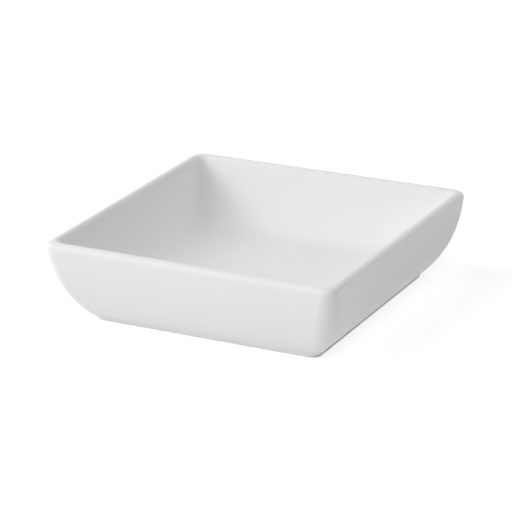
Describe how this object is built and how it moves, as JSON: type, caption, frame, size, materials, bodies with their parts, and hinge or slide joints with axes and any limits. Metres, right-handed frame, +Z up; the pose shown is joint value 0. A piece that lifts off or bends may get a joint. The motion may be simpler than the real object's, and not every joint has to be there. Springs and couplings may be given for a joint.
{
  "type": "square dish",
  "caption": "Small square condiment dish in white glazed porcelain, with upright rounded lip, walls that curve in to a low square foot, and a smooth open well.",
  "frame": {"origin": "centre of the foot's standing face", "axes": "+Z up out of the well, +X and +Y square to the straight sides"},
  "size_m": [0.08, 0.08, 0.022],
  "materials": {
    "bare_porcelain": "matte",
    "white_glaze": "gloss"
  },
  "bodies": {
    "root": {"porcelain_body": "bare_porcelain", "glaze_coat": "white_glaze", "underside_glaze": "white_glaze"}
  },
  "joints": []
}
